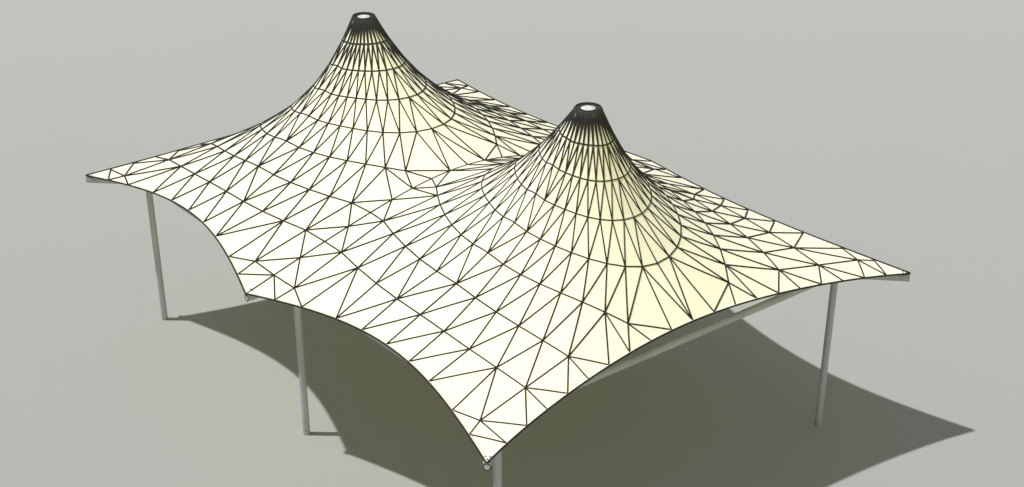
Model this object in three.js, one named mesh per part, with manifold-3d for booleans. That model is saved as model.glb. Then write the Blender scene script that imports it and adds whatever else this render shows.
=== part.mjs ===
// A twin-peak tensile membrane canopy on a frame of round steel tubes.
// Millimetres, +Z up, +X along the long side, the origin on the ground at the middle of the plan.
// Six columns carry a ring of beams. Two cross beams carry a short mast each, and a steel ring on
// each mast holds a peak of the membrane. Arms reach out from the column tops to the roof's corners
// and to the middle of each long side, where the membrane is clamped.

import * as THREE from 'three';
import { mergeVertices } from 'three/addons/utils/BufferGeometryUtils.js';
import Module from 'manifold-3d';

const wasm = await Module();
wasm.setup();

// Driving dimensions of the plan and the frame
const roofLength = 10400;
const roofWidth = 7400;
const columnLineLength = 9000;
const columnLineWidth = 6000;
const frameAxisHeight = 2480;
const middleReach = 3750;
const peakOffset = 2600;
const peakHeight = 5075;

// Tubes and joints
const tubeRadius = 50.8;
const mastRadius = 44.5;
const tubeSides = 24;
const gap = 0.3;
const armOverrun = 10;

// The ring at each peak, with its cover
const ringRadius = 155;
const ringWall = 15;
const ringDrop = 65;
const ringPlate = 12;
const coverThickness = 5;
const coverCrown = 9;
const coverRecess = 6;
const spacerRadius = 30;
const ringSides = 32;

// The plates that clamp the membrane's corners
const plateLength = 110;
const plateWidth = 90;
const plateThickness = 5;
const saddleDepth = 14;

// The membrane, as thick as its solids need, and the pull in its threads and edges.
// A pull is counted against that of the threads that run from the peak to the edge. A thread that
// lies along X pulls harder than one along Y, and a lean says how much.
const membraneThickness = 10;
const longEdgePull = 0.0256;
const shortEdgePull = 0.188;
const valleyPull = 0.0318;
const spokeLean = 1.07;
const hoopPull = 0.82;
const hoopFade = 0.46;
const hoopLean = 2.02;
const netRings = 20;
const netSpokesLong = 12;
const netSpokesShort = 20;
const ringCrowding = 1.6;
const relaxationSweeps = 900;
const overRelaxation = 1.9;
const panelStep = 2;

const halfLength = roofLength / 2;
const halfWidth = roofWidth / 2;
const columnX = columnLineLength / 2;
const columnY = columnLineWidth / 2;
const frameTop = frameAxisHeight + tubeRadius;
const plateTop = frameTop + plateThickness;
const cornerHeight = plateTop + gap + membraneThickness / 2;

const steel = new THREE.MeshStandardMaterial({ color: 0x8f9290, roughness: 0.45, metalness: 0.6 });
const darkSteel = new THREE.MeshStandardMaterial({ color: 0x3a3c3d, roughness: 0.5, metalness: 0.5 });
const fabric = new THREE.MeshStandardMaterial({ color: 0xf6f5ee, roughness: 0.6, metalness: 0 });

const group = new THREE.Group();

function addNode(name, geometry, material) {
  const mesh = new THREE.Mesh(geometry, material);
  mesh.name = name;
  group.add(mesh);
}

// Solids for cutting one tube to sit against another

function toSolid(geometry) {
  const bare = geometry.clone();
  bare.deleteAttribute('normal');
  bare.deleteAttribute('uv');
  const merged = mergeVertices(bare, 1e-3);
  return new wasm.Manifold(new wasm.Mesh({
    numProp: 3,
    vertProperties: merged.attributes.position.array,
    triVerts: Uint32Array.from(merged.index.array),
  }));
}

function toGeometry(solid) {
  const mesh = solid.getMesh();
  const geometry = new THREE.BufferGeometry();
  geometry.setAttribute('position', new THREE.BufferAttribute(mesh.vertProperties, 3));
  geometry.setIndex(new THREE.BufferAttribute(mesh.triVerts, 1));
  return geometry;
}

// A tube from one point to another, as the geometry of a closed bar
function tube(start, end, radius) {
  const along = new THREE.Vector3().subVectors(end, start);
  const geometry = new THREE.CylinderGeometry(radius, radius, along.length(), tubeSides);
  const turn = new THREE.Quaternion().setFromUnitVectors(new THREE.Vector3(0, 1, 0), along.clone().normalize());
  geometry.applyQuaternion(turn);
  const middle = new THREE.Vector3().addVectors(start, end).multiplyScalar(0.5);
  geometry.translate(middle.x, middle.y, middle.z);
  return geometry;
}

// A geometry with the room for each of the given tubes cut out of it
function coped(geometry, neighbours) {
  let solid = toSolid(geometry);
  for (const neighbour of neighbours) {
    solid = solid.subtract(toSolid(tube(neighbour.start, neighbour.end, neighbour.radius + gap)));
  }
  return toGeometry(solid);
}

function member(start, end, radius = tubeRadius) {
  return { start: new THREE.Vector3(...start), end: new THREE.Vector3(...end), radius };
}

// A round piece turned about the vertical line at x, from its profile of radius and height
function turned(profile, x) {
  const points = profile.map(([radius, height]) => new THREE.Vector2(radius, height));
  const geometry = new THREE.LatheGeometry(points, ringSides);
  geometry.rotateX(Math.PI / 2);
  geometry.translate(x, 0, 0);
  return geometry;
}

// Columns, at the corners and the middles of the long sides
const columnPlaces = {
  column_left_front: [-columnX, -columnY],
  column_middle_front: [0, -columnY],
  column_right_front: [columnX, -columnY],
  column_left_back: [-columnX, columnY],
  column_middle_back: [0, columnY],
  column_right_back: [columnX, columnY],
};
const columns = [];
for (const [name, [x, y]] of Object.entries(columnPlaces)) {
  const column = member([x, y, 0], [x, y, frameTop]);
  columns.push(column);
  addNode(name, tube(column.start, column.end, column.radius), steel);
}

// Beams between the column tops: the long sides run through, and the short sides butt against them
const longBeams = [];
for (const [sideY, face] of [[-columnY, 'front'], [columnY, 'back']]) {
  for (const [sideX, hand] of [[-columnX, 'left'], [columnX, 'right']]) {
    const beam = member([0, sideY, frameAxisHeight], [sideX, sideY, frameAxisHeight]);
    longBeams.push(beam);
    addNode(`long_beam_${hand}_${face}`, coped(tube(beam.start, beam.end, beam.radius), columns), steel);
  }
}
const shortBeams = [];
for (const [x, hand] of [[-columnX, 'left'], [columnX, 'right']]) {
  const beam = member([x, -columnY, frameAxisHeight], [x, columnY, frameAxisHeight]);
  shortBeams.push(beam);
  const neighbours = [...columns, ...longBeams];
  addNode(`short_beam_${hand}`, coped(tube(beam.start, beam.end, beam.radius), neighbours), steel);
}

// Cross beams under the peaks, each with its mast, ring and cover
const ringTop = peakHeight;
const ringBottom = ringTop - ringDrop;
for (const [x, hand] of [[-peakOffset, 'left'], [peakOffset, 'right']]) {
  const beam = member([x, -columnY, frameAxisHeight], [x, columnY, frameAxisHeight]);
  addNode(`cross_beam_${hand}`, coped(tube(beam.start, beam.end, beam.radius), longBeams), steel);

  const mast = member([x, 0, frameAxisHeight], [x, 0, ringBottom - gap], mastRadius);
  addNode(`mast_${hand}`, coped(tube(mast.start, mast.end, mast.radius), [beam]), steel);

  const ringProfile = [
    [0, ringBottom],
    [ringRadius, ringBottom],
    [ringRadius, ringTop],
    [ringRadius - ringWall, ringTop],
    [ringRadius - ringWall, ringBottom + ringPlate],
    [0, ringBottom + ringPlate],
  ];
  addNode(`peak_ring_${hand}`, turned(ringProfile, x), darkSteel);

  const coverRadius = ringRadius - ringWall - gap;
  const coverEdge = ringTop - coverRecess;
  const coverProfile = [
    [0, ringBottom + ringPlate + gap],
    [spacerRadius, ringBottom + ringPlate + gap],
    [spacerRadius, coverEdge - coverThickness],
    [coverRadius, coverEdge - coverThickness],
    [coverRadius, coverEdge],
    [0, coverEdge + coverCrown],
  ];
  addNode(`peak_cover_${hand}`, turned(coverProfile, x), fabric);
}

// Arms out to the membrane's corners, with a clamping plate on the end of each
function addArm(name, columnPlace, tip, neighbours) {
  const start = new THREE.Vector3(...columnPlace, frameAxisHeight);
  const corner = new THREE.Vector3(...tip, frameAxisHeight);
  const direction = new THREE.Vector3().subVectors(corner, start).normalize();
  const end = corner.clone().addScaledVector(direction, armOverrun);
  addNode(`${name}_arm`, coped(tube(start, end, tubeRadius), neighbours), steel);

  const plate = new THREE.BoxGeometry(plateLength, plateWidth, plateThickness + saddleDepth);
  plate.translate(armOverrun - plateLength / 2, 0, plateTop - (plateThickness + saddleDepth) / 2);
  plate.rotateZ(Math.atan2(direction.y, direction.x));
  plate.translate(tip[0], tip[1], 0);
  const pastEnd = end.clone().addScaledVector(direction, plateLength);
  const seat = { start, end: pastEnd, radius: tubeRadius };
  addNode(`${name}_plate`, coped(plate, [seat]), darkSteel);
}

const frameBeams = [...longBeams, ...shortBeams];
for (const [signY, face] of [[-1, 'front'], [1, 'back']]) {
  for (const [signX, hand] of [[-1, 'left'], [1, 'right']]) {
    const cornerColumn = [signX * columnX, signY * columnY];
    const corner = [signX * halfLength, signY * halfWidth];
    addArm(`corner_${hand}_${face}`, cornerColumn, corner, [...columns, ...frameBeams]);
  }
  addArm(`middle_${face}`, [0, signY * columnY], [0, signY * middleReach], [...columns, ...longBeams]);
}

// The membrane's form. One half of the roof is a net of threads that run from the peak's ring to the
// border, crossed by closed rings of threads. Every free knot is moved, over and over, to the mean of
// its neighbours weighed by the pull of the threads between them, until the net is at rest. The knots
// along the two long edges and the short edge hang in the edge cables, and those of the valley stay
// on the line between the two halves.
function findForm() {
  const spokes = 2 * (netSpokesLong + netSpokesShort);
  const cornerAt = [0, netSpokesLong, netSpokesLong + netSpokesShort, 2 * netSpokesLong + netSpokesShort];
  const corners = [
    [0, -middleReach],
    [halfLength, -halfWidth],
    [halfLength, halfWidth],
    [0, middleReach],
  ];
  const border = [];
  for (let side = 0; side < 4; side += 1) {
    const [x0, y0] = corners[side];
    const [x1, y1] = corners[(side + 1) % 4];
    const count = side % 2 === 0 ? netSpokesLong : netSpokesShort;
    for (let k = 0; k < count; k += 1) {
      border.push([x0 + (x1 - x0) * k / count, y0 + (y1 - y0) * k / count, cornerHeight]);
    }
  }

  const clampRadius = ringRadius + gap + membraneThickness / 2;
  const outwardSpoke = (cornerAt[1] + cornerAt[2]) / 2;
  const reach = Array.from({ length: netRings + 1 }, (_, ring) => (ring / netRings) ** ringCrowding);
  const knots = reach.map((share) => border.map((outer, spoke) => {
    const angle = (spoke - outwardSpoke) / spokes * 2 * Math.PI;
    const inner = [peakOffset + clampRadius * Math.cos(angle), clampRadius * Math.sin(angle), ringTop];
    return inner.map((value, axis) => value + (outer[axis] - value) * share);
  }));

  const leaning = (lean, [x0, y0], [x1, y1]) => {
    const [alongX, alongY] = [(x1 - x0) ** 2, (y1 - y0) ** 2];
    return Math.exp(lean * (alongX - alongY) / (alongX + alongY));
  };
  const spokePull = (ring, spoke) => {
    const step = reach[ring + 1] - reach[ring];
    return leaning(spokeLean, [peakOffset, 0], border[spoke]) / spokes / step;
  };
  const ringPull = (ring, spoke) => {
    if (ring < netRings) {
      const spread = (reach[ring + 1] - reach[ring - 1]) / 2;
      const next = knots[ring][(spoke + 1) % spokes];
      const turn = leaning(hoopLean, knots[ring][spoke], next);
      return hoopPull * turn * spread * spokes * reach[ring] ** hoopFade;
    }
    if (spoke >= cornerAt[3]) return valleyPull * spokes;
    return (spoke >= cornerAt[1] && spoke < cornerAt[2] ? shortEdgePull : longEdgePull) * spokes;
  };
  // The pulls are settled from the first, straight net, before its knots move
  const spokePulls = knots.slice(0, netRings)
    .map((row, ring) => row.map((_, spoke) => spokePull(ring, spoke)));
  const ringPulls = knots
    .map((row, ring) => row.map((_, spoke) => (ring > 0 ? ringPull(ring, spoke) : 0)));

  for (let sweep = 0; sweep < relaxationSweeps; sweep += 1) {
    for (let ring = 1; ring <= netRings; ring += 1) {
      for (let spoke = 0; spoke < spokes; spoke += 1) {
        if (ring === netRings && cornerAt.includes(spoke)) continue;
        const before = (spoke + spokes - 1) % spokes;
        const after = (spoke + 1) % spokes;
        const links = [
          [knots[ring - 1][spoke], spokePulls[ring - 1][spoke]],
          [knots[ring][before], ringPulls[ring][before]],
          [knots[ring][after], ringPulls[ring][spoke]],
        ];
        if (ring < netRings) links.push([knots[ring + 1][spoke], spokePulls[ring][spoke]]);
        const total = links.reduce((sum, [, pull]) => sum + pull, 0);
        const inValley = ring === netRings && spoke > cornerAt[3];
        for (let axis = inValley ? 1 : 0; axis < 3; axis += 1) {
          const mean = links.reduce((sum, [knot, pull]) => sum + knot[axis] * pull, 0) / total;
          knots[ring][spoke][axis] += overRelaxation * (mean - knots[ring][spoke][axis]);
        }
      }
    }
  }
  return { knots, cornerAt, spokes };
}

const { knots, cornerAt, spokes } = findForm();
const knotAt = (ring, spoke) => new THREE.Vector3(...knots[ring][(spoke + spokes) % spokes]);

// The direction straight out of the membrane's upper face at a knot
function outwards(ring, spoke) {
  if (ring === 0) {
    return knotAt(0, spoke).sub(new THREE.Vector3(peakOffset, 0, ringTop)).normalize();
  }
  const around = new THREE.Vector3().subVectors(knotAt(ring, spoke + 1), knotAt(ring, spoke - 1));
  const down = new THREE.Vector3().subVectors(knotAt(Math.min(ring + 1, netRings), spoke), knotAt(ring - 1, spoke));
  const normal = down.cross(around);
  const onValley = ring === netRings && (spoke >= cornerAt[3] || spoke === 0);
  if (onValley) normal.x = 0;
  return normal.normalize();
}

// One panel of the membrane, as a closed solid between two spokes of the net. The panel stops short
// of its neighbours by half the gap, and mirror is -1 for the half of the roof at the left.
function panel(firstSpoke, lastSpoke, mirror) {
  const columnsOfPanel = (lastSpoke - firstSpoke) / panelStep + 1;
  const rows = netRings / panelStep + 1;
  const positions = [];
  for (const face of [1, -1]) {
    for (let row = 0; row < rows; row += 1) {
      const ring = row * panelStep;
      for (let k = 0; k < columnsOfPanel; k += 1) {
        const spoke = firstSpoke + k * panelStep;
        const point = knotAt(ring, spoke);
        const inward = k === 0 ? 1 : k === columnsOfPanel - 1 ? -1 : 0;
        if (inward !== 0) {
          const neighbour = knotAt(ring, spoke + inward);
          point.addScaledVector(neighbour.sub(point).normalize(), gap / 2);
        }
        const spokeInCell = spoke % spokes;
        point.addScaledVector(outwards(ring, spokeInCell), face * membraneThickness / 2);
        point.x = Math.max(point.x, gap / 2);
        positions.push(point.x * mirror, point.y, point.z);
      }
    }
  }

  const at = (face, row, k) => (face * rows + row) * columnsOfPanel + k;
  const triangles = [];
  const quad = (a, b, c, d) => {
    if (mirror > 0) triangles.push(a, b, c, a, c, d);
    else triangles.push(a, c, b, a, d, c);
  };
  for (let row = 0; row + 1 < rows; row += 1) {
    for (let k = 0; k + 1 < columnsOfPanel; k += 1) {
      quad(at(0, row, k), at(0, row + 1, k), at(0, row + 1, k + 1), at(0, row, k + 1));
      quad(at(1, row, k), at(1, row, k + 1), at(1, row + 1, k + 1), at(1, row + 1, k));
    }
    quad(at(0, row, 0), at(1, row, 0), at(1, row + 1, 0), at(0, row + 1, 0));
    const last = columnsOfPanel - 1;
    quad(at(0, row, last), at(0, row + 1, last), at(1, row + 1, last), at(1, row, last));
  }
  for (let k = 0; k + 1 < columnsOfPanel; k += 1) {
    quad(at(0, 0, k + 1), at(1, 0, k + 1), at(1, 0, k), at(0, 0, k));
    quad(at(0, rows - 1, k), at(1, rows - 1, k), at(1, rows - 1, k + 1), at(0, rows - 1, k + 1));
  }

  const geometry = new THREE.BufferGeometry();
  geometry.setAttribute('position', new THREE.Float32BufferAttribute(positions, 3));
  geometry.setIndex(triangles);
  return geometry;
}

const endMiddle = cornerAt[1] + netSpokesShort / 2;
const valleyMiddle = cornerAt[3] + netSpokesShort / 2;
const panels = {
  front: [0, cornerAt[1]],
  end_front: [cornerAt[1], endMiddle],
  end_back: [endMiddle, cornerAt[2]],
  back: [cornerAt[2], cornerAt[3]],
  valley_back: [cornerAt[3], valleyMiddle],
  valley_front: [valleyMiddle, spokes],
};
for (const [mirror, hand] of [[-1, 'left'], [1, 'right']]) {
  for (const [place, [firstSpoke, lastSpoke]] of Object.entries(panels)) {
    addNode(`membrane_${hand}_${place}`, panel(firstSpoke, lastSpoke, mirror), fabric);
  }
}

export default group;
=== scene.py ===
# A twin-peak tensile membrane canopy on a frame of round steel tubes.
# Metres, +Z up, +X along the long side, the origin on the ground at the middle of the plan, as in
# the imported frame. The sections follow the order in which the canopy is put up.

import bmesh
import bpy
import numpy as np
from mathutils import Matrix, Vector
from mathutils.geometry import delaunay_2d_cdt


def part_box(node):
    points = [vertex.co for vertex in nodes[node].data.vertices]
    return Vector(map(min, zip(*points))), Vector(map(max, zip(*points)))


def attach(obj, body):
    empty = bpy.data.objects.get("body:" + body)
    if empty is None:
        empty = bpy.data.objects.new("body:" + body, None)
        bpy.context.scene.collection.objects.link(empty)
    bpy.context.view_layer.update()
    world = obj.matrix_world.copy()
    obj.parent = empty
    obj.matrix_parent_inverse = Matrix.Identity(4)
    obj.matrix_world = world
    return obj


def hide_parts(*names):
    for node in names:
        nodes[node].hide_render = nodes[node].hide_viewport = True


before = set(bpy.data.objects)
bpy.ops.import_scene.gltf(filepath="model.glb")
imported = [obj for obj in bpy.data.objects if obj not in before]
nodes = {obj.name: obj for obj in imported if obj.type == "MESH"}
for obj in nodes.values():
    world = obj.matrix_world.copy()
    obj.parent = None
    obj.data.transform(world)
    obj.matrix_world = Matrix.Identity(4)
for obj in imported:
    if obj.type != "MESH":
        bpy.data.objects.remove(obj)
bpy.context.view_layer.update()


# The columns, beams, arms and masts: round steel tube, galvanised and painted a satin grey. The
# beams and arms butt against the columns, and the two cross beams carry the masts. The plates that
# are welded on the arms' ends are painted with them.

column_low, column_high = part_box("column_right_front")
tube_radius = (column_high.x - column_low.x) / 2
column_x = (column_high.x + column_low.x) / 2
column_y = -(column_high.y + column_low.y) / 2
axis_height = column_high.z - tube_radius
cross_beam_low, cross_beam_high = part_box("cross_beam_right")
peak_x = (cross_beam_low.x + cross_beam_high.x) / 2
mast_low, mast_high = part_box("mast_right")
mast_radius = (mast_high.x - mast_low.x) / 2
tube_names = ("column_", "long_beam_", "short_beam_", "cross_beam_", "mast_")

paint_grey = (0.355, 0.365, 0.415)
paint_chalked = (0.435, 0.445, 0.495)
chalk_scale = 2.2
run_stretch = (30.0, 30.0, 1.2)
run_strength = 0.35
run_dark = 0.72
splash_brown = (0.23, 0.21, 0.18)
splash_height = 0.35
splash_scale = 38.0
worn_scale = 9.0
paint_roughness = (0.34, 0.50)
paint_grain = 220.0
paint_relief = 0.0006

cloud_roughness = 0.55
# A mix node's sockets for colours
mix_first, mix_second, mix_result = 6, 7, 2


def feed(tree, node, inputs):
    """Gives each input of a node a number or colour of its own, or links it to a socket."""
    for key, value in inputs.items():
        if isinstance(value, bpy.types.NodeSocket):
            tree.links.new(value, node.inputs[key])
        else:
            node.inputs[key].default_value = value


def new_node(tree, kind, inputs, **settings):
    """A node of a material, with its settings and its inputs."""
    node = tree.nodes.new(kind)
    for key, value in settings.items():
        setattr(node, key, value)
    feed(tree, node, inputs)
    return node


def new_finish(name):
    """A material with its node tree and its main shader."""
    finish = bpy.data.materials.new(name)
    finish.use_nodes = True
    tree = finish.node_tree
    return finish, tree, tree.nodes["Principled BSDF"]


def place_of(tree, stretch=(1.0, 1.0, 1.0)):
    """The place on the piece in metres, stretched along each axis, for patterns in the material."""
    place = new_node(tree, "ShaderNodeTexCoord", {}).outputs["Object"]
    return new_node(tree, "ShaderNodeMapping", {"Vector": place, "Scale": stretch}).outputs["Vector"]


def clouds(tree, place, scale, detail=4.0):
    """Soft random patches, from 0 to 1, about 1 / scale metres across."""
    inputs = {"Vector": place, "Scale": scale, "Detail": detail, "Roughness": cloud_roughness}
    return new_node(tree, "ShaderNodeTexNoise", inputs).outputs["Fac"]


def spread(tree, value, limits, becomes=(0.0, 1.0)):
    """The value, stretched so that each of its two limits becomes what is given for it."""
    inputs = dict(zip(("From Min", "From Max", "To Min", "To Max"), (*limits, *becomes)), Value=value)
    return new_node(tree, "ShaderNodeMapRange", inputs).outputs["Result"]


def blended(tree, share, first, second):
    """One colour passing into another. Each is a colour or a socket, and share is from 0 to 1."""
    first, second = ((*c, 1.0) if isinstance(c, tuple) else c for c in (first, second))
    inputs = {"Factor": share, mix_first: first, mix_second: second}
    return new_node(tree, "ShaderNodeMix", inputs, data_type="RGBA").outputs[mix_result]


def sums(tree, operation, first, second):
    """Arithmetic between two sockets, or a socket and a number."""
    inputs = {0: first, 1: second}
    return new_node(tree, "ShaderNodeMath", inputs, operation=operation).outputs["Value"]


def raised(tree, shader, height, depth, strength):
    """Gives the shader a relief of the given depth in metres."""
    inputs = {"Height": height, "Distance": depth, "Strength": strength}
    feed(tree, shader, {"Normal": new_node(tree, "ShaderNodeBump", inputs).outputs["Normal"]})


def toned(colour, share):
    """A colour made darker, or lighter where share is over 1."""
    return tuple(share * c for c in colour)


def satin_tube_paint():
    """Grey paint with chalked patches, faint runs down the tubes and dried splashes near the ground."""
    finish, tree, shader = new_finish("satin_tube_paint")
    place = place_of(tree)
    chalk = spread(tree, clouds(tree, place, chalk_scale), (0.35, 0.7))
    colour = blended(tree, chalk, paint_grey, paint_chalked)
    runs = clouds(tree, place_of(tree, run_stretch), 1.0, 2.0)
    colour = blended(tree, spread(tree, runs, (0.3, 0.75), (0.0, run_strength)), colour,
                     toned(paint_grey, run_dark))
    height = new_node(tree, "ShaderNodeSeparateXYZ", {"Vector": place}).outputs["Z"]
    near_ground = spread(tree, height, (splash_height, 0.0))
    splashes = spread(tree, clouds(tree, place, splash_scale, 5.0), (0.42, 0.62))
    colour = blended(tree, sums(tree, "MULTIPLY", near_ground, splashes), colour, splash_brown)
    worn = spread(tree, clouds(tree, place, worn_scale), (0.3, 0.7), paint_roughness)
    feed(tree, shader, {"Base Color": colour, "Roughness": worn})
    raised(tree, shader, clouds(tree, place, paint_grain, 2.0), paint_relief, 0.35)
    return finish


tube_paint = satin_tube_paint()
for name, node in nodes.items():
    if name.startswith(tube_names) or name.endswith(("_arm", "_plate")):
        node.material_slots[0].material = tube_paint


# The weld beads: where each tube butts against another, one run of weld goes all the way round
# the saddle between them. It was painted with the tubes.

bead_radius = 0.0045
bead_ripple = 0.10
bead_ripples = 46
bead_steps = 276
bead_sides = 6
same_place = 0.00001
upright = (0, 0, 1)


def skin(points, ring=False):
    """The points of a grid of rows, and the four-sided faces between neighbours. Each row is closed,
    and a ring's last row meets its first."""
    rows, columns = points.shape[:2]
    row = np.arange(rows if ring else rows - 1)[:, None]
    column = np.arange(columns)[None]

    def at(down, over):
        return ((row + down) % rows) * columns + (column + over) % columns

    faces = np.stack([at(0, 0), at(1, 0), at(1, 1), at(0, 1)], axis=-1)
    return points.reshape(-1, 3), faces.reshape(-1, 4)


def whole_turn(steps):
    """Angles at even steps of one turn."""
    return np.linspace(0, 2 * np.pi, steps, endpoint=False)


def unit(vectors):
    """Each vector at length 1."""
    return vectors / np.linalg.norm(vectors, axis=-1, keepdims=True)


def polar(radius, turn, height=0.0):
    """Points round the Z axis: cos and sin of the turn times the radius, at the height."""
    return np.stack(np.broadcast_arrays(radius * np.cos(turn), radius * np.sin(turn), height), axis=-1)


def carried(line, first, second, section):
    """A section carried along a line: each corner is off the line by its first number one way and
    by its second the other way."""
    return line[..., None, :] + section[..., :1] * first[..., None, :] \
        + section[..., 1:2] * second[..., None, :]


def together(parts):
    """Several pairs of points and faces as one pair."""
    all_points, all_faces, start = [], [], 0
    for points, faces in parts:
        all_points.append(points)
        all_faces += (np.asarray(faces) + start).tolist()
        start += len(points)
    return np.concatenate(all_points), all_faces


def in_scene(name, data):
    """A new object in the scene that holds a mesh, a lamp or a camera."""
    thing = bpy.data.objects.new(name, data)
    bpy.context.scene.collection.objects.link(thing)
    return thing


def new_piece(name, parts, finish, smooth=True):
    """A piece of the canopy from its parts' points and faces, with its finish, riding on the frame.
    Points that lie together are made one, and the faces are turned outward."""
    points, faces = together(parts)
    mesh = bpy.data.meshes.new(name)
    mesh.from_pydata(points.tolist(), [], faces)
    shape = bmesh.new()
    shape.from_mesh(mesh)
    bmesh.ops.remove_doubles(shape, verts=shape.verts, dist=same_place)
    bmesh.ops.recalc_face_normals(shape, faces=shape.faces)
    shape.to_mesh(mesh)
    shape.free()
    mesh.materials.append(finish)
    mesh.polygons.foreach_set("use_smooth", np.full(len(mesh.polygons), smooth))
    piece = in_scene(name, mesh)
    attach(piece, "root")
    return piece


def saddle(meeting, direction, through, radius):
    """The closed line where a tube meets the skin of the tube it butts against.

    At angle t round the tube its skin is off the axis by the radius, cos t to the side and sin t up.
    It ends where the distance from the other tube's axis is that tube's radius, so it stands off by
    the root of that radius squared less the square of the part of the offset that lies across.
    """
    direction, through = unit(np.array(direction, float)), unit(np.array(through, float))
    side = unit(np.cross(direction, through))
    up = np.cross(side, direction)
    turn = whole_turn(bead_steps)[:, None]
    offset = radius * (np.cos(turn) * side + np.sin(turn) * up)
    across = radius ** 2 - (offset @ through) ** 2
    away = np.sqrt(np.maximum(tube_radius ** 2 - across, 0.0))
    return np.array(meeting) + offset + away[:, None] * direction, unit(offset)


def bead(line, outward):
    """A rounded run of weld along a closed line, its radius rippling as each puddle set."""
    ahead = unit(np.roll(line, -1, 0) - np.roll(line, 1, 0))
    side = unit(np.cross(ahead, outward))
    step = np.arange(len(line))[:, None] / len(line)
    swell = bead_radius * (1 + bead_ripple * np.cos(2 * np.pi * bead_ripples * step))
    return skin(carried(line, outward, side, polar(swell, whole_turn(bead_sides))), ring=True)


joints = []
for sign_y in (-1, 1):
    middle_top = (0, sign_y * column_y, axis_height)
    for sign_x in (-1, 1):
        corner_top = (sign_x * column_x, sign_y * column_y, axis_height)
        for direction in ((-sign_x, 0, 0), (0, -sign_y, 0), (sign_x, sign_y, 0)):
            joints.append((corner_top, direction, upright, tube_radius))
        joints.append((middle_top, (sign_x, 0, 0), upright, tube_radius))
        under_peak = (sign_x * peak_x, sign_y * column_y, axis_height)
        joints.append((under_peak, (0, -sign_y, 0), (1, 0, 0), tube_radius))
    joints.append((middle_top, (0, sign_y, 0), upright, tube_radius))
for sign_x in (-1, 1):
    joints.append(((sign_x * peak_x, 0, axis_height), upright, (0, 1, 0), mast_radius))
new_piece("weld_beads", [bead(*saddle(*joint)) for joint in joints], tube_paint)


# The covers in the arms' outer ends: a light pressed disc in each tube's mouth, held by a thick dark
# rim, which keeps the rain out of the tube.

half_length = 10.4 / 2
half_width = 7.4 / 2
middle_reach = 3.75
arm_overrun = 0.010
rim_radius = 0.0075
rim_sides = 8
disc_inset = 1.5 * rim_radius
disc_crown = 0.004
disc_thick = 0.001
disc_rings = 7
round_steps = 48

disc_grey = (0.60, 0.61, 0.60)
rim_dark = (0.035, 0.037, 0.038)
fine_grain = 400.0
fine_relief = 0.0003


def facing(points, centre, direction, up=upright):
    """Points with +Z as their outward way, turned so that it points along direction from centre."""
    outward = unit(np.array(direction, float))
    side = unit(np.cross(up, outward))
    return np.array(centre) + points @ np.stack([side, np.cross(outward, side), outward])


def copies(shape, places, directions, up=upright):
    """The same points and faces at each place, each copy standing along its direction."""
    points, faces = shape
    return [(facing(points, place, direction, up), faces)
            for place, direction in zip(places, directions)]


def turned(radii, heights, ring=False):
    """A round surface: each radius goes round the axis at its height. A radius of 0 is a pole."""
    points = polar(np.array(radii)[:, None], whole_turn(round_steps), np.array(heights)[:, None])
    return skin(points, ring)


def hoop(radii, heights):
    """A closed ring. The corners of its section are given outward, then up, anticlockwise."""
    points, faces = turned(radii, heights, ring=True)
    return points, faces[:, ::-1]


def rolled_rim(radius, thick):
    """A ring of round bar of the given half thickness, its middle on the circle of the radius."""
    turn = whole_turn(rim_sides)
    return hoop(radius + thick * np.cos(turn), thick * np.sin(turn))


def pressed_disc(radius, crown):
    """A closed disc whose face rises to the middle by crown times the cosine of the share out."""
    share = np.linspace(0, 1, disc_rings)
    radii = np.concatenate([radius * share, radius * share[::-1]])
    heights = np.concatenate([crown * np.cos(share * np.pi / 2), np.full(disc_rings, -disc_thick)])
    return turned(radii, heights)


def plain_finish(name, colour, roughness, patch=0.85, patch_scale=30.0, metallic=0.0):
    """Paint, bare metal or rubber whose colour and gloss vary in patches, with a fine grain."""
    finish, tree, shader = new_finish(name)
    place = place_of(tree)
    patches = spread(tree, clouds(tree, place, patch_scale), (0.35, 0.7))
    gloss = spread(tree, clouds(tree, place, 3 * patch_scale), (0.3, 0.7),
                   (roughness - 0.06, roughness + 0.1))
    feed(tree, shader, {"Base Color": blended(tree, patches, colour, toned(colour, patch)),
                        "Roughness": gloss, "Metallic": metallic})
    raised(tree, shader, clouds(tree, place, fine_grain, 2.0), fine_relief, 0.3)
    return finish


tips, ways = [], []
for sign_y in (-1, 1):
    for sign_x in (0, -1, 1):
        root = np.array([sign_x * column_x, sign_y * column_y])
        tips.append(np.array([sign_x * half_length, sign_y * (half_width if sign_x else middle_reach)]))
        ways.append(unit(np.append(tips[-1] - root, 0.0)))
mouths = [np.append(tip, axis_height) + arm_overrun * way for tip, way in zip(tips, ways)]
new_piece("arm_end_discs", copies(pressed_disc(tube_radius - disc_inset, disc_crown), mouths, ways),
          plain_finish("end_disc_paint", disc_grey, 0.42))
new_piece("arm_end_rims", copies(rolled_rim(tube_radius - rim_radius, rim_radius), mouths, ways),
          plain_finish("rim_dark_paint", rim_dark, 0.40))


# The peak rings and their covers: on each mast a dark steel ring that the membrane is drawn over. A
# dark flange closes it, with a light domed vent cover in its middle, and bolts hold them.

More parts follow.
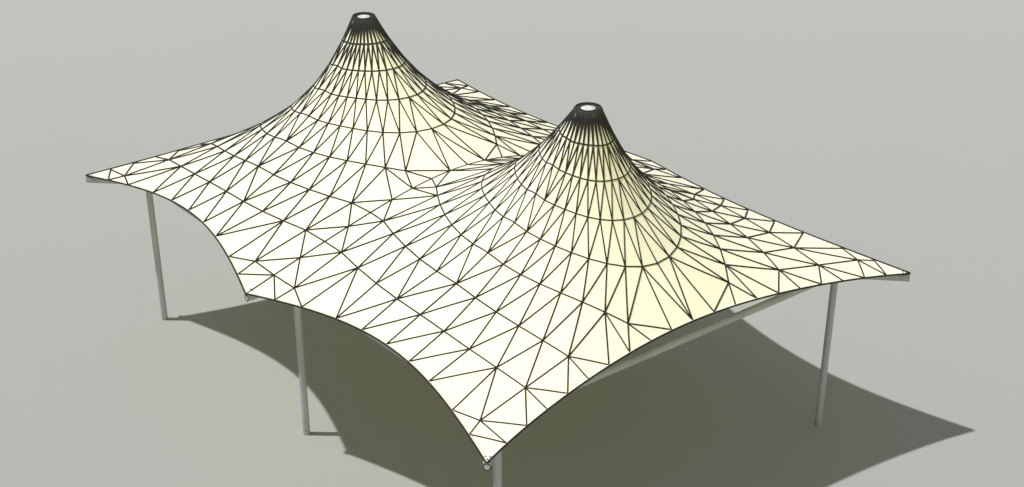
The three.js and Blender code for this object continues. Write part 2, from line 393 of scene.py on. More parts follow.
ring_low, ring_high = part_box("peak_ring_right")
ring_radius = (ring_high.x - ring_low.x) / 2
ring_top = ring_high.z
cover_low, cover_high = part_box("peak_cover_right")
flange_radius = (cover_high.x - cover_low.x) / 2
flange_drop = 0.005
flange_top = ring_top - flange_drop
flange_thick = 0.006
flange_chamfer = 0.0015
flange_lap = 0.010
flange_bolts = 12
flange_bolt_radius = 0.121
flange_bolt_size = (0.013, 0.008)
vent_radius = 0.098
vent_crown = 0.020
vent_rim = 0.0035
vent_screws = 4
vent_screw_size = (0.010, 0.006)
vent_screw_share = 0.62
vent_screw_start = 0.4
vent_screw_sink = 0.002
bolt_steps = 12
bolt_levels = (0, 0, 0.15, 0.15, 0.85, 1.0, 1.0)
washer_share = 0.95
hex_share = 0.88
no_bolts_way = (0.1, 0.2, 1.0)

fitting_dark = (0.030, 0.031, 0.033)
vent_light = (0.66, 0.66, 0.63)
zinc_grey = (0.52, 0.53, 0.54)

fitting_paint = plain_finish("fitting_dark_paint", fitting_dark, 0.45, 1.5)
vent_paint = plain_finish("vent_light_paint", vent_light, 0.42, 0.9, 40.0)
zinc = plain_finish("bolt_zinc", zinc_grey, 0.35, metallic=0.9)
for hand in ("left", "right"):
    nodes[f"peak_ring_{hand}"].material_slots[0].material = fitting_paint


def hex_bolt(across_flats, tall):
    """A bolt's head on its washer: round at the washer, then six-sided, and chamfered at the top.

    A six-sided outline at angle t is half the flats' width over the cosine of the angle from the
    nearest flat's middle.
    """
    turn = whole_turn(bolt_steps)
    from_flat = (turn + np.pi / 6) % (np.pi / 3) - np.pi / 6
    six = across_flats / 2 / np.cos(from_flat)
    washer = np.full(bolt_steps, across_flats * washer_share)
    outline = np.stack([0 * six, washer, washer, six, six, six * hex_share, 0 * six])
    return skin(polar(outline, turn, np.array(bolt_levels)[:, None] * tall))


def bolts_at(name, size, places, directions, finish):
    """One piece made of the same bolt at each place, standing along its direction or the one."""
    spots = copies(hex_bolt(*size), places, np.broadcast_to(directions, places.shape), no_bolts_way)
    new_piece(name, spots, finish, smooth=False)


def at_peaks(points):
    """The same points by both peaks' axes, left and right."""
    return [points + (sign_x * peak_x, 0, 0) for sign_x in (-1, 1)]


def on_peaks(name, shape, finish):
    """One piece made of the same shape on both flanges, with the flange's top as its height 0."""
    points, faces = shape
    spots = [(spot, faces) for spot in at_peaks(points + (0, 0, flange_top))]
    return new_piece(name, spots, finish)


def circle_of(count, radius, height, start=0.0):
    """Places at even turns of a circle round each peak's axis."""
    return np.concatenate(at_peaks(polar(radius, start + whole_turn(count), height)))


flange_inner = vent_radius - flange_lap
flange = hoop([flange_inner, flange_radius, flange_radius, flange_radius - flange_chamfer, flange_inner],
              [-flange_thick, -flange_thick, -flange_chamfer, 0.0, 0.0])
on_peaks("peak_flanges", flange, fitting_paint)
vents = on_peaks("peak_vents", pressed_disc(vent_radius, vent_crown), vent_paint)
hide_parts("peak_cover_left", "peak_cover_right")
on_peaks("peak_vent_rims", rolled_rim(vent_radius, vent_rim), fitting_paint)
bolts_at("flange_bolts", flange_bolt_size, circle_of(flange_bolts, flange_bolt_radius, flange_top),
         upright, fitting_paint)
screw_height = flange_top + vent_crown * np.cos(vent_screw_share * np.pi / 2) - vent_screw_sink
screw_places = circle_of(vent_screws, vent_screw_share * vent_radius, screw_height, vent_screw_start)
bolts_at("vent_screws", vent_screw_size, screw_places, upright, fitting_paint)


# The membrane: coated polyester cloth, cut in strips and welded into one sheet along rings round
# the peaks and arcs along the long sides. It is drawn over the two peak rings and out to the corners
# and to the middles of the long sides, and its form is that of a net of threads at rest.

spokes_long = 12
spokes_short = 20
side_spokes = (spokes_long, spokes_short, spokes_long, spokes_short)
corner_spokes = np.cumsum((0,) + side_spokes[:-1])
net_rings = 20
ring_crowding = 1.6
long_edge_pull = 0.0256
short_edge_pull = 0.188
valley_pull = 0.0318
spoke_lean = 1.07
hoop_pull = 0.82
hoop_fade = 0.46
hoop_lean = 2.02
ring_to_cloth = 0.0053
tube_to_cloth = 0.0103
clamp_radius = ring_radius + ring_to_cloth
tip_height = axis_height + tube_radius + tube_to_cloth

cloth_thickness = 0.0012
facet_flatness = 0.6
facet_steps = 6
edge_degree = 7
edge_points = 801
valley_side = 3
valley_crowding = 0.20
least_squared = 1e-18
same_knot = 1e-6

cloth_cream = (0.94, 0.93, 0.735)
cloth_aged = (0.93, 0.915, 0.66)
cloth_relief = 0.0006
weave_scale = 90.0
ripple_scale = 3.0
ripple_share = 6.0
light_through = 0.12
tone_seed = 7
tone_range = (0.2, 1.0)


def resting_net():
    """The net at rest on the right half of the roof, as an array of rings by spokes by x, y, z.

    A thread pulls in proportion to its length, so a free knot rests at the mean of its neighbours
    weighed by the pulls of the threads between them, which is one linear equation a knot. The
    peak's ring and the four corners are fixed, and the valley's knots stay at x = 0.
    """
    corners = np.array([[0, -middle_reach], [half_length, -half_width],
                        [half_length, half_width], [0, middle_reach]])
    sides = [start + (end - start) * np.arange(count)[:, None] / count
             for start, end, count in zip(corners, np.roll(corners, -1, 0), side_spokes)]
    border = np.column_stack([np.concatenate(sides), np.full(sum(side_spokes), tip_height)])
    spokes = len(border)
    angle = (np.arange(spokes) - spokes_long - spokes_short / 2) * 2 * np.pi / spokes
    inner = polar(clamp_radius, angle, ring_top) + (peak_x, 0, 0)
    reach = (np.arange(net_rings + 1) / net_rings) ** ring_crowding
    knots = inner + (border - inner) * reach[:, None, None]

    def leaning(lean, way):
        along_x, along_y = way[..., 0] ** 2, way[..., 1] ** 2
        return np.exp(lean * (along_x - along_y) / (along_x + along_y))

    spoke_pulls = leaning(spoke_lean, border - (peak_x, 0, 0)) / spokes / np.diff(reach)[:, None]
    spreads = (reach[2:] - reach[:-2]) / 2 * reach[1:-1] ** hoop_fade
    hoops = np.roll(knots, -1, 1) - knots
    hoop_pulls = hoop_pull * spokes * spreads[:, None] * leaning(hoop_lean, hoops[1:-1])
    side_pulls = (long_edge_pull, short_edge_pull, long_edge_pull, valley_pull)
    edge_pulls = np.repeat(side_pulls, side_spokes) * spokes
    number = np.arange(knots[..., 0].size).reshape(knots.shape[:2])
    first = np.concatenate([number[:-1].ravel(), number[1:].ravel()])
    second = np.concatenate([number[1:].ravel(), np.roll(number, -1, 1)[1:].ravel()])
    pulls = np.concatenate([spoke_pulls.ravel(), hoop_pulls.ravel(), edge_pulls])
    balance = np.zeros((number.size, number.size))
    for knot, other in ((first, second), (second, first)):
        np.add.at(balance, (knot, knot), pulls)
        np.add.at(balance, (knot, other), -pulls)

    held = np.zeros(number.size, bool)
    held[number[0]] = True
    held[number[-1, corner_spokes]] = True
    on_valley = held.copy()
    on_valley[number[-1, corner_spokes[valley_side]:]] = True
    flat = knots.reshape(-1, 3).copy()
    for axis, fixed in enumerate((on_valley, held, held)):
        free = ~fixed
        load = -balance[np.ix_(free, fixed)] @ flat[fixed, axis]
        flat[free, axis] = np.linalg.solve(balance[np.ix_(free, free)], load)
    return flat.reshape(knots.shape)


net = resting_net()
spline_places = net.reshape(-1, 3)[:, :2]


def spline_bowls(places):
    """A bowl r squared times log r about every knot of the net, seen from each place."""
    squared = ((places[:, None] - spline_places) ** 2).sum(-1)
    return 0.5 * squared * np.log(np.maximum(squared, least_squared))


def spline_shares():
    """How much of each bowl, and of a level and two slopes, makes a surface through all the knots."""
    plane = np.column_stack([np.ones(len(spline_places)), spline_places])
    rows = np.block([[spline_bowls(spline_places), plane], [plane.T, np.zeros((3, 3))]])
    return np.linalg.solve(rows, np.append(net.reshape(-1, 3)[:, 2], np.zeros(3)))


shares = spline_shares()


def on_membrane(places):
    """The membrane over each place in plan, a sum of bowls and a plane, as points."""
    heights = spline_bowls(places) @ shares[:-3] + shares[-3] + places @ shares[-2:]
    return np.column_stack([places, heights])


def outward_of(places):
    """The direction straight out of the membrane's upper face, from the slopes of the same sum."""
    away = places[:, None] - spline_places
    log = np.log(np.maximum((away ** 2).sum(-1), least_squared)) + 1
    slopes = np.einsum("ij,ijk,j->ik", log, away, shares[:-3]) + shares[-2:]
    return unit(np.column_stack([-slopes, np.ones(len(places))]))


def lengths_along(line):
    """The length of a line from its first point to each of its points."""
    return np.append(0, np.cumsum(np.linalg.norm(np.diff(line, axis=0), axis=1)))


def read_off(line, at):
    """Points at the given lengths along a line of many points."""
    length = lengths_along(line)
    return np.stack([np.interp(at, length, values) for values in line.T], axis=-1)


def edge_curve(side, shares_along):
    """Points on one side of the border, at shares of its length along a smooth curve through the
    net's knots on that side. The valley's shares crowd a little towards its middle."""
    start, count = corner_spokes[side], side_spokes[side]
    knots = np.concatenate([net[-1], net[-1, :1]])[start:start + count + 1]
    curve = np.polynomial.chebyshev.Chebyshev
    fits = [curve.fit(np.arange(len(knots)), values, edge_degree) for values in knots.T]
    line = np.stack([fit(np.linspace(0, count, edge_points)) for fit in fits], axis=-1)
    if side == valley_side:
        from_middle = 2 * shares_along - 1
        away = np.abs(from_middle)
        shares_along = 0.5 + 0.5 * np.sign(from_middle) * (away - valley_crowding * away * (1 - away))
    points = read_off(line, shares_along * lengths_along(line)[-1])
    for end, knot in ((0, knots[0]), (1, knots[-1])):
        points[shares_along == end] = knot
    return points


# Where the seams' knots lie in plan. A closed ring has its reach from the peak's axis at every
# fifth of a half turn, from the outward way to the inward.
ring_reaches = (
    (clamp_radius,) * 6,
    (0.375, 0.350, 0.340, 0.350, 0.380, 0.430),
    (0.610, 0.580, 0.550, 0.580, 0.645, 0.745),
    (0.925, 0.875, 0.820, 0.860, 0.975, 1.150),
    (1.390, 1.290, 1.170, 1.210, 1.430, 1.720),
)
# The strips run from left to right over both peaks, so each ring has close steps on the quarter
# that faces right, up to a turn measured from the outward way, and wider steps beyond.
close_steps = 9
halves = {
    "right": {"close_from": 0, "close_to": 92, "wide_steps": (5, 6, 7, 8, 9), "lone": (7, 7, 8, 8),
              "close_x": 2.55, "arc_steps": ((7, 7), (5, 5), (4, 4)), "mirror": (1, 1, 1)},
    "left": {"close_from": 180, "close_to": 98, "wide_steps": (4, 5, 6, 7, 8), "lone": (10, 10, 10, 10),
             "close_x": 2.42, "arc_steps": ((7, 6), (5, 5), (4, 4)), "mirror": (-1, 1, 1)},
}
# An arc has its inward end, its lowest point and its outward end.
arcs = (
    ((0.38, -0.84), (2.55, -1.61), (4.42, -0.89)),
    ((0.40, -1.77), (2.55, -2.12), (4.43, -1.86)),
    ((0.46, -2.51), (2.56, -2.69), (4.51, -2.59)),
)
# From the outer ring to the first arc, from arc to arc and on to the long edge, the links start so
# many knots behind and turn round at a lone knot.
arc_links = ((2, close_steps), (2, 7), (1, 4), (0, 1))
valley_link = 3
corner_knots = ((0.52, -3.31), (4.60, -3.33))
border_steps = (10, 20, 10, 20)
long_edge_shares = (0, 0.097, 0.190, 0.310, 0.404, 0.5)
ring_points = 181
arc_points = 101


def side_shares(side):
    """Where the border's knots lie along one side. A long side's third steps are a little longer."""
    if side % 2 == 0:
        return np.concatenate([long_edge_shares, 1 - np.array(long_edge_shares[-2::-1])])
    return np.arange(border_steps[side] + 1) / border_steps[side]


def evenly(line, count):
    """Places at equal steps of length along a line of many points, count steps in all."""
    return read_off(line, np.linspace(0, lengths_along(line)[-1], count + 1))


def ring_places(reaches, layout, wide_steps):
    """A closed ring of knots: its reach is a sum of cosines of whole turns through its six reaches.
    It starts where the close steps do, and runs by the front and the wide steps to the back. The
    close steps are even in the mean of the turn and the length, the wide ones in length."""
    orders = np.arange(len(reaches))
    shares_of = np.linalg.solve(np.cos(np.outer(orders * np.pi / orders[-1], orders)), reaches)

    def at(turn):
        reach = np.cos(np.outer(turn, orders)) @ shares_of
        return np.column_stack([peak_x + reach * np.cos(turn), -reach * np.sin(turn)])

    near, far = np.radians([layout["close_from"], layout["close_to"]])
    turns = np.linspace(near, far, ring_points)
    length = lengths_along(at(turns))
    mean_share = (length / length[-1] + np.linspace(0, 1, len(turns))) / 2
    close = at(np.interp(np.linspace(0, 1, close_steps + 1), mean_share, turns))
    wide = evenly(at(np.linspace(far, np.pi - near, ring_points)), wide_steps)
    half = np.concatenate([close, wide[1:]])
    return np.concatenate([half, half[-2:0:-1] * (1, -1)])


def arc_places(inward, lowest, outward, close_x, steps_in, steps_out):
    """An open arc of knots on two halves of parabolas that meet, level, at its lowest point. Its
    steps are even up to close_x, and even beyond it."""
    def at(x):
        end = np.where((x < lowest[0])[:, None], inward, outward)
        share = (x - lowest[0]) / (end[:, 0] - lowest[0])
        return np.column_stack([x, lowest[1] + (end[:, 1] - lowest[1]) * share ** 2])

    first = evenly(at(np.linspace(inward[0], close_x, arc_points)), steps_in)
    second = evenly(at(np.linspace(close_x, outward[0], arc_points)), steps_out)
    return np.concatenate([first, second[1:]])


def row_links(upper, lower, behind, lone):
    """Links from a row of knots to the next. Up to the lone knot each is linked to the knot that is
    so many behind its own number and the one after, the lone knot to that one alone, and beyond it
    each to that one and the one before."""
    pairs = []
    for step, knot in enumerate(upper):
        for other in (step - behind - (step > lone), step - behind + (step < lone)):
            if 0 <= other < len(lower):
                pairs.append((knot, lower[other]))
    return np.array(pairs)


def seam_net(layout):
    """The seams' knots and links on one half, and the facets between them.

    Neighbours on a ring, an arc or the border are linked, and so are each row's knots with the next
    row's. Where a link is still missing, the facets are those of a Delaunay triangulation.
    """
    places, links = [], []

    def add(group, closed=False):
        number = np.arange(len(group)) + sum(map(len, places))
        after = np.roll(number, -1) if closed else number[1:]
        links.append(np.column_stack([number[:len(after)], after]))
        places.append(group)
        return number

    circles = [add(ring_places(reaches, layout, wide), closed=True)
               for reaches, wide in zip(ring_reaches, layout["wide_steps"])]
    rows = []
    for sign in (1, -1):
        rows.append([add(arc_places(*arc, layout["close_x"], *steps) * (1, sign))
                     for arc, steps in zip(arcs, layout["arc_steps"])])
        rows[-1] += [add(np.array([knot]) * (1, sign))[0] for knot in corner_knots]
    border = add(np.concatenate([edge_curve(side, side_shares(side)[:-1])[:, :2]
                                 for side in range(len(border_steps))]), closed=True)
    ring = np.append(border, border[0])
    starts = np.cumsum((0,) + border_steps[:-1])
    sides = [ring[start:start + count + 1] for start, count in zip(starts, border_steps)]
    valley_middle = sides[valley_side][border_steps[valley_side] // 2]

    for back, (first_arc, second_arc, third_arc, _, outer_corner) in enumerate(rows):
        halves_of = [np.roll(circle[::-1], 1) if back else circle for circle in circles]
        halves_of = [circle[:len(circle) // 2 + 1] for circle in halves_of]
        for inner, outer, lone in zip(halves_of[:-1], halves_of[1:], layout["lone"]):
            links.append(row_links(inner, outer, 0, lone))
            links.append([(inner[-1], outer[-1])])
        from_close = first_arc if layout["close_from"] else first_arc[::-1]
        edge = sides[2][::-1] if back else sides[0]
        neighbours = ((halves_of[-1], from_close), (first_arc, second_arc), (second_arc, third_arc),
                      (third_arc[1:-1], edge[2:-2]))
        links += [row_links(*pair, *pattern) for pair, pattern in zip(neighbours, arc_links)]
        on_valley = valley_middle + (-valley_link if back else valley_link)
        links.append([(outer_corner, third_arc[-2]), (first_arc[1], on_valley)])
    places = np.concatenate(places)
    wanted = np.unique(np.sort(np.concatenate(links), axis=1), axis=0)

    vectors = [Vector(place) for place in places.tolist()]
    found = delaunay_2d_cdt(vectors, wanted.tolist(), [], 0, same_knot, True)
    original = np.array([ids[0] for ids in found[3]])
    facets = original[np.array(found[2])]
    unwanted = [np.isin(facets, knots).all(1) for knots in (circles[0], *sides)]
    return places, facets[~np.any(unwanted, axis=0)], sides


def raised_net(layout):
    """One half's net lifted on to the form: its knots, its links, the bulge of each link (how far
    the form lies off the straight line at the link's middle), and its facets with their links.
    Inside the border the bulges are made less, because a facet of taut cloth is flatter."""
    places, facets, sides = seam_net(layout)
    knots = on_membrane(places)
    links = np.sort(np.concatenate([facets[:, [0, 1]], facets[:, [1, 2]], facets[:, [2, 0]]]), axis=1)
    links, link_of = np.unique(links, axis=0, return_inverse=True)
    middles = on_membrane(places[links].mean(1))
    for side, numbers in enumerate(sides):
        along = side_shares(side)
        knots[numbers[:-1]] = edge_curve(side, along[:-1])
        for step, middle in enumerate(edge_curve(side, (along[1:] + along[:-1]) / 2)):
            middles[(links == sorted(numbers[step:step + 2])).all(1)] = middle
    border = np.unique(np.concatenate(sides))
    bulges = middles - knots[links].mean(1)
    bulges[~np.isin(links, border).all(1)] *= 1 - facet_flatness
    return {"knots": knots, "links": links, "bulges": bulges, "facets": facets, "border": border,
            "link_of": link_of.reshape(3, -1), "mirror": layout["mirror"]}


nets = {hand: raised_net(layout) for hand, layout in halves.items()}


def barycentric(steps):
    """Shares of a facet's three corners on an even grid over it, and the triangles between them."""
    first, second = np.meshgrid(np.arange(steps + 1), np.arange(steps + 1), indexing="ij")
    inside = first + second <= steps
    number = np.full(inside.shape, -1)
    number[inside] = np.arange(inside.sum())
    b, c = first[inside] / steps, second[inside] / steps
    up = np.stack([number[:-1, :-1], number[1:, :-1], number[:-1, 1:]], axis=-1)
    down = np.stack([number[1:, :-1], number[1:, 1:], number[:-1, 1:]], axis=-1)
    triangles = np.concatenate([up, down]).reshape(-1, 3)
    return np.column_stack([1 - b - c, b, c]), triangles[(triangles >= 0).all(1)]


def placed(mirror, points, faces):
    """A shape on its own half of the roof. On the mirrored half its faces are turned back."""
    return points * mirror, np.asarray(faces)[:, ::mirror[0]]


def half_sheet(net_half):
    """One half of the sheet. A point of a facet is the mean of its corners weighed by the shares
    a, b, c, plus 4 a b times the bulge of the link between the first two corners, and the same for
    the other links."""
    shares_in, triangles = barycentric(facet_steps)
    a, b, c = shares_in.T
    facets = net_half["facets"]
    points = np.einsum("pk,fkx->fpx", shares_in, net_half["knots"][facets])
    for pair, (p, q) in enumerate(((a, b), (b, c), (c, a))):
        points += 4 * (p * q)[:, None] * net_half["bulges"][net_half["link_of"][pair]][:, None]
    faces = triangles[None] + (np.arange(len(facets)) * len(shares_in))[:, None, None]
    return placed(net_half["mirror"], points.reshape(-1, 3), faces.reshape(-1, 3))


def welded_cloth():
    """Cream-white coated cloth: faint weave, strips that differ a little in tone, soft dirt that
    gathers in patches, and some light that comes through from the other side."""
    finish, tree, shader = new_finish("welded_cloth")
    place = place_of(tree)
    tone = new_node(tree, "ShaderNodeAttribute", {}, attribute_name="strip_tone").outputs["Fac"]
    weathered = spread(tree, clouds(tree, place, 0.9, 5.0), (0.35, 0.75), (0.0, 0.55))
    colour = blended(tree, sums(tree, "MULTIPLY", weathered, tone), cloth_cream, cloth_aged)
    feed(tree, shader, {"Base Color": colour, "Roughness": 0.62, "Specular IOR Level": 0.35,
                        "Sheen Weight": 0.15})
    warp, weft = (new_node(tree, "ShaderNodeTexWave", {"Vector": place, "Scale": weave_scale},
                           bands_direction=axis).outputs["Fac"] for axis in "XY")
    ripple = sums(tree, "MULTIPLY", clouds(tree, place, ripple_scale, 2.0), ripple_share)
    weave = sums(tree, "ADD", sums(tree, "ADD", warp, weft), ripple)
    raised(tree, shader, weave, cloth_relief, 0.25)
    through = new_node(tree, "ShaderNodeBsdfTranslucent", {"Color": colour})
    both = new_node(tree, "ShaderNodeMixShader", {"Fac": light_through, 1: shader.outputs["BSDF"],
                                                  2: through.outputs["BSDF"]})
    feed(tree, tree.nodes["Material Output"], {"Surface": both.outputs["Shader"]})
    return finish


cloth = welded_cloth()
sheet_halves = [half_sheet(net_half) for net_half in nets.values()]
membrane = new_piece("membrane_sheet", sheet_halves, cloth)
facet_faces = facet_steps ** 2
facet_count = sum(len(net_half["facets"]) for net_half in nets.values())
facet_tones = np.random.default_rng(tone_seed).uniform(*tone_range, facet_count)
tone_values = membrane.data.attributes.new("strip_tone", "FLOAT", "FACE")
tone_values.data.foreach_set("value", np.repeat(facet_tones, facet_faces).astype(np.float32))
sheet_mesh = bmesh.new()
sheet_mesh.from_mesh(membrane.data)
if sum(face.normal.z for face in sheet_mesh.faces) < 0:
    bmesh.ops.reverse_faces(sheet_mesh, faces=sheet_mesh.faces)
for edge in sheet_mesh.edges:
    edge.smooth = not edge.is_boundary
sheet_mesh.to_mesh(membrane.data)
sheet_mesh.free()
thick = membrane.modifiers.new("thickness", "SOLIDIFY")
thick.thickness = cloth_thickness
thick.offset = 0.0
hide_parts(*[name for name in nodes if name.startswith("membrane_")])


# The seams: where two strips of cloth overlap, a dark tape is welded over the joint, and it shows on
# both faces of the sheet. It is narrower up the cones, and a little wider towards the left back.

seam_half = 0.0120
seam_widening = (-0.034, 0.026, 0.0)
seam_heights = (3.1, 3.9, 4.45, 4.85)
seam_shares = (1.0, 0.80, 0.80, 1.04)
seam_lift = 0.0055
seam_steps = 4
seam_sides = 6
seam_dark = (0.022, 0.021, 0.019)
seam_grain = 150.0
seam_relief = 0.0004
on_the_valley = 1e-4


def shut_ends(count):
    """The rows of a strip, with the first and the last once more, and their shares of its section.
    The added rows have a share of 0, which shuts the strip's ends."""
    rows = np.concatenate([[0], np.arange(count), [count - 1]])
    share = np.ones(len(rows))
    share[[0, -1]] = 0
    return rows, share


def seam_strips(net_half, chosen):
    """A raised strip along each chosen link. The link's line is the mean of its ends by share t plus
    4 t (1 - t) times its bulge, and a circle is carried along it, a little over the cloth. Its
    size is a share read off by height, and more towards the left back."""
    ends = net_half["links"][chosen]
    share = np.linspace(0, 1, seam_steps + 1)[None, :, None]
    start, end = (net_half["knots"][ends[:, which]][:, None] for which in (0, 1))
    bulge = net_half["bulges"][chosen][:, None]
    line = start + (end - start) * share + 4 * share * (1 - share) * bulge
    ahead = unit(end - start + 4 * (1 - 2 * share) * bulge)
    outward_ends = outward_of(net_half["knots"][:, :2])[ends]
    outward = outward_ends[:, :1] + (outward_ends[:, 1:] - outward_ends[:, :1]) * share
    side = unit(np.cross(ahead, outward))
    outward = np.cross(side, ahead)
    along, wide = shut_ends(seam_steps + 1)
    size = np.interp(line[..., 2], seam_heights, seam_shares)
    size += (line * net_half["mirror"]) @ seam_widening
    circle = (0, seam_lift) + seam_half * polar(1, whole_turn(seam_sides))[:, :2]
    section = (wide * size[:, along])[..., None, None] * circle
    strips = carried(line[:, along], side[:, along], outward[:, along], section)
    return placed(net_half["mirror"], *together([skin(strip) for strip in strips]))


def welded_tape():
    """Dark welded tape, dull, with a slight unevenness along it."""
    finish, tree, shader = new_finish("seam_tape")
    place = place_of(tree)
    patches = spread(tree, clouds(tree, place, 14.0), (0.3, 0.7))
    feed(tree, shader, {"Base Color": blended(tree, patches, seam_dark, toned(seam_dark, 1.5)),
                        "Roughness": 0.7, "Specular IOR Level": 0.2})
    raised(tree, shader, clouds(tree, place, seam_grain), seam_relief, 0.3)
    return finish


seam_tape = welded_tape()
runs = []
for net_half in nets.values():
    at_valley = (net_half["knots"][net_half["links"]][..., 0] < on_the_valley).all(1)
    border_step = np.abs(np.diff(net_half["links"], axis=1).ravel())
    at_edge = np.isin(net_half["links"], net_half["border"]).all(1) & ~at_valley
    at_edge &= (border_step == 1) | (border_step == len(net_half["border"]) - 1)
    runs.append(seam_strips(net_half, np.flatnonzero(~at_edge & ~at_valley)))
runs.append(seam_strips(nets["left"], np.flatnonzero(at_valley)))
seams = new_piece("membrane_seams", runs, seam_tape)


# The free edges: the cloth is turned round a steel cable and welded down, which makes a round pocket
# with a flat tail, and a dark cord is welded in along the pocket's outer side.

pocket_radius = 0.009
pocket_away = 0.001
pocket_mouth = 0.72 * np.pi
pocket_points = 11
pocket_tail = 0.028
tail_middle = 0.45 * pocket_tail
tail_lift = 0.0010
tail_middle_lift = 1.6 * tail_lift
cord_radius = 0.0125
cord_sides = 8
cord_away = pocket_away + pocket_radius + 0.6 * cord_radius
cord_up = 0.014
edge_overrun = 0.012
edge_steps = 72
free_sides = (0, 1, 2)
mirrored = nets["left"]["mirror"]


def edge_strip(side, profile):
    """A shape carried along one free edge of the right half, closed at both ends. Its section has
    corners by their distance out of the cloth and up from it, anticlockwise."""
    line = edge_curve(side, np.linspace(0, 1, edge_steps + 1))
    ahead = unit(np.gradient(line, axis=0))
    line[[0, -1]] += edge_overrun * ahead[[0, -1]] * ((-1,), (1,))
    outward = outward_of(line[:, :2])
    away = unit(np.cross(ahead, outward))
    outward = np.cross(away, ahead)
    along, open_share = shut_ends(len(line))
    section = profile * open_share[:, None, None]
    return skin(carried(line[along], away[along], outward[along], section))


def both_halves(shape):
    """A shape on the right half and its mirrored copy on the left."""
    return [shape, placed(mirrored, *shape)]


def edge_piece(name, profile, finish):
    """One piece made of the same section carried along all the free edges."""
    runs = [run for side in free_sides for run in both_halves(edge_strip(side, profile))]
    return new_piece(name, runs, finish)


pocket_turn = np.linspace(-pocket_mouth, pocket_mouth, pocket_points)
pocket_profile = np.concatenate([
    (pocket_away, 0) + polar(pocket_radius, pocket_turn)[:, :2],
    [(-tail_middle, tail_middle_lift), (-pocket_tail, tail_lift)],
    [(-pocket_tail, -tail_lift), (-tail_middle, -tail_middle_lift)],
])
cord_profile = (cord_away, cord_up) + polar(cord_radius, whole_turn(cord_sides))[:, :2]
pocket = edge_piece("membrane_edge_pocket", pocket_profile, cloth)
edge_cord = edge_piece("membrane_edge_cord", cord_profile, seam_tape)


# The peak clamps: a dark steel band round each cone, just under the ring's top, with a row of bolts
# that press the membrane to the ring.

band_from = 0.001
band_reach = 0.018
band_gap = 0.0040
band_thick = 0.0100
band_rows = 6
band_bolts = 16
band_bolt_size = (0.016, 0.009)


def off_cone(shares_down, offsets, turns):
    """Points off the right cone: each row goes round it at a share of the band's reach, offset out
    of the membrane."""
    reach = clamp_radius + band_from + band_reach * np.asarray(shares_down)[:, None]
    places = (peak_x, 0) + polar(reach, turns)[..., :2].reshape(-1, 2)
    outward = outward_of(places)
    return on_membrane(places) + np.repeat(offsets, len(turns))[:, None] * outward, outward


band_shares = np.linspace(0, 1, band_rows)
band_points, _ = off_cone(np.concatenate([band_shares, band_shares[::-1]]),
                          [band_gap] * band_rows + [band_gap + band_thick] * band_rows,
                          whole_turn(2 * round_steps))
band = skin(band_points.reshape(2 * band_rows, -1, 3), ring=True)
new_piece("peak_clamp_bands", both_halves(band), fitting_paint)
bolt_turns = (np.arange(band_bolts) + 0.5) * 2 * np.pi / band_bolts
band_spots, band_ways = (np.concatenate([values, values * mirrored])
                         for values in off_cone([0.5], [band_gap + band_thick], bolt_turns))
bolts_at("peak_clamp_bolts", band_bolt_size, band_spots, band_ways, fitting_paint)


# The corner clamps: at each arm's end the membrane lies on a rubber packing on the arm's plate, under
# a pressed white plate of three corners, and three bolts go through them all.

plate_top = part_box("middle_front_plate")[1].z
packing_gap = 0.0002
clamp_gap = 0.6 * cloth_thickness
clamp_corner = 0.012
clamp_middles = ((-0.014, 0.0), (-0.092, 0.040), (-0.092, -0.040))
clamp_thick = 0.006
clamp_bevel = 0.0018
clamp_inner = 0.6
clamp_bolts = ((-0.036, 0.0), (-0.082, 0.028), (-0.082, -0.028))
clamp_bolt_size = (0.017, 0.010)
corner_steps = 6

clamp_white = (0.88, 0.88, 0.84)
rubber_black = (0.028, 0.028, 0.030)


def rounded_outline(middles, radius):
    """An outline anticlockwise round a flat shape, whose rounded corners have these middles."""
    middles = np.array(middles)
    before, after = middles - np.roll(middles, 1, 0), np.roll(middles, -1, 0) - middles
    start, end = (np.arctan2(-way[:, 0], way[:, 1])[:, None] for way in (before, after))
    turn = start + (end - start) % (2 * np.pi) * np.linspace(0, 1, corner_steps)
    return (middles[:, None] + polar(radius, turn)[..., :2]).reshape(-1, 2)


def by_tip(tip, way, spots):
    """Places in plan, from their distances past an arm's tip and to the left of its way."""
    return tip + spots[..., :1] * way[:2] + spots[..., 1:] * np.array([-way[1], way[0]])


def over_cloth(offset):
    """A height over places in plan: that of the membrane's middle on either half, and an offset."""
    def height(plan):
        on_right = np.stack([np.abs(plan[..., 0]), plan[..., 1]], axis=-1).reshape(-1, 2)
        return on_membrane(on_right)[:, 2].reshape(plan.shape[:-1]) + offset

    return height


def on_plate(plan):
    """The height of the arms' plates, all over."""
    return plate_top + packing_gap


def plate_between(tip, way, low, high):
    """A closed plate of the clamp's outline, pointing along the arm's way in plan, with a bevelled
    top. low and high give the heights of its two faces over places in plan."""
    outline, inset = (rounded_outline(clamp_middles, clamp_corner - bevel) for bevel in (0, clamp_bevel))
    centre = outline.mean(0)
    edge, top = outline - centre, inset - centre
    rows = centre + np.stack([0 * edge, clamp_inner * edge, edge, edge, top, clamp_inner * top, 0 * edge])
    plan = by_tip(tip, way, rows)
    is_top = np.array([0, 0, 0, 1, 1, 1, 1])[:, None]
    bevelled = np.array([0, 0, 0, clamp_bevel, 0, 0, 0])[:, None]
    return skin(np.dstack([plan, np.where(is_top, high(plan) - bevelled, low(plan))]))


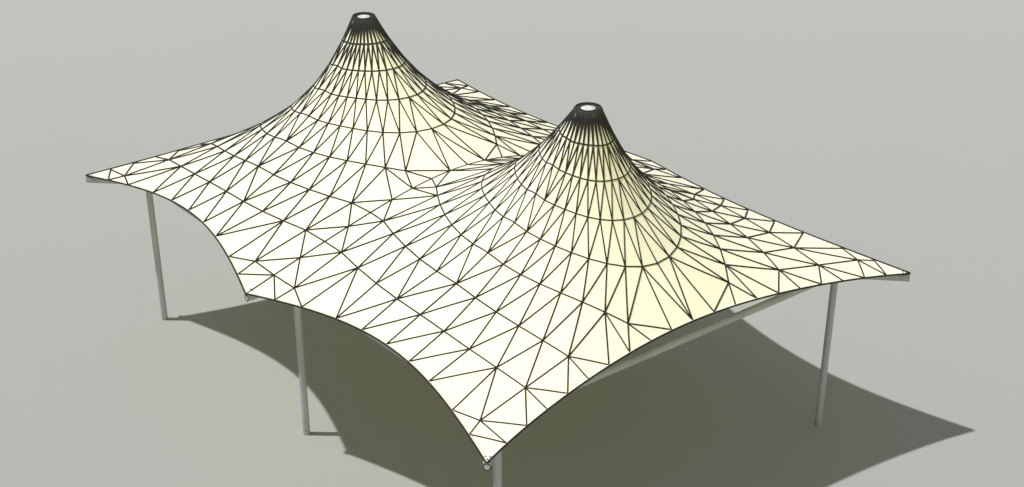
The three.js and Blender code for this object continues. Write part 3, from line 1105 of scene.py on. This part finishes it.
clamp_low, clamp_high = over_cloth(clamp_gap), over_cloth(clamp_gap + clamp_thick)
packings, clamps, bolt_places = [], [], []
for tip, way in zip(tips, ways):
    packings.append(plate_between(tip, way, on_plate, over_cloth(-0.5 * cloth_thickness)))
    clamps.append(plate_between(tip, way, clamp_low, clamp_high))
    spots = by_tip(tip, way, np.array(clamp_bolts))
    bolt_places.append(np.column_stack([spots, clamp_high(spots)]))
new_piece("corner_packings", packings,
          plain_finish("packing_rubber", rubber_black, 0.7, 1.4, 60.0), smooth=False)
new_piece("corner_clamps", clamps,
          plain_finish("clamp_white_paint", clamp_white, 0.4, 0.93, 25.0), smooth=False)
bolts_at("corner_clamp_bolts", clamp_bolt_size, np.concatenate(bolt_places), upright, zinc)


# The studio: a pale floor with painted light, darker near the camera and lighter far from it, a soft key
# light from the upper left, and even light all round.

floor_half = 600.0
# Painted light on the floor: its grey goes from darker near the camera to lighter far from it, along the
# way the camera looks.
floor_near_painted_darker = (0.322, 0.324, 0.305)
floor_far_painted_lighter = (0.372, 0.373, 0.354)
painted_light_way = (-0.78, 0.62, 0.0)
painted_light_limits = (-8.0, 24.0)
floor_patches = 0.12
key_from = (-0.81, -0.95, 2.54)
key_strength = 3.75
key_softness = 0.02
fill_strength = 0.350
fill_colour = (0.94, 0.975, 1.06)
warm_from = (1.0, -0.2, 0.35)
warm_strength = 0.72
warm_colour = (1.0, 0.95, 0.25)


def sun(name, shines_from, strength):
    """A lamp far away that shines from a direction."""
    light = bpy.data.lights.new(name, "SUN")
    light.energy = strength
    in_scene(name, light).rotation_euler = Vector(shines_from).to_track_quat("Z", "Y").to_euler()
    return light


def floor_paint_with_painted_light():
    """Matt paint, a little uneven, with painted light: its grey passes from darker near the camera to
    lighter far from it, along the way the camera looks in plan.
    """
    finish, tree, shader = new_finish("studio_floor")
    place = place_of(tree)
    # Painted light: the floor is lighter the farther it lies along the way the camera looks.
    along = new_node(tree, "ShaderNodeVectorMath", {0: place, 1: painted_light_way}, operation="DOT_PRODUCT")
    share = spread(tree, along.outputs["Value"], painted_light_limits)
    uneven = spread(tree, clouds(tree, place, floor_patches, 2.0), (0.3, 0.7), (-0.06, 0.06))
    colour = blended(tree, sums(tree, "ADD", share, uneven), floor_near_painted_darker, floor_far_painted_lighter)
    feed(tree, shader, {"Base Color": colour, "Roughness": 0.9, "Specular IOR Level": 0.1})
    return finish


floor_mesh = bpy.data.meshes.new("studio_floor")
floor_corners = [(x * floor_half, y * floor_half, 0) for x, y in ((-1, -1), (1, -1), (1, 1), (-1, 1))]
floor_mesh.from_pydata(floor_corners, [], [(0, 1, 2, 3)])
floor_mesh.materials.append(floor_paint_with_painted_light())
floor = in_scene("studio_floor", floor_mesh)

sun("key", key_from, key_strength).angle = key_softness
warm = sun("warm_fill", warm_from, warm_strength)
warm.color = warm_colour
warm.use_shadow = False

studio = bpy.data.worlds.new("studio")
studio.use_nodes = True
feed(studio.node_tree, studio.node_tree.nodes["Background"],
     {"Color": (*fill_colour, 1.0), "Strength": fill_strength})
bpy.context.scene.world = studio
bpy.context.scene.view_settings.view_transform = "Standard"


# The camera, high over the canopy's right front corner, as in the picture.

camera_place = (15.6696, -11.7783, 11.4840)
camera_tilt = np.radians(62.470)
camera_heading = np.radians(51.335)
camera_lens = 50.67
camera_sensor = 36.0
camera_shift = (0.0038, 0.0521)
camera_far = 2000.0

view = bpy.data.cameras.new("camera")
view.lens = camera_lens
view.sensor_width = camera_sensor
view.shift_x, view.shift_y = camera_shift
view.clip_end = camera_far
camera = in_scene("camera", view)
camera.location = camera_place
camera.rotation_euler = (camera_tilt, 0.0, camera_heading)
bpy.context.scene.camera = camera

bpy.context.view_layer.update()
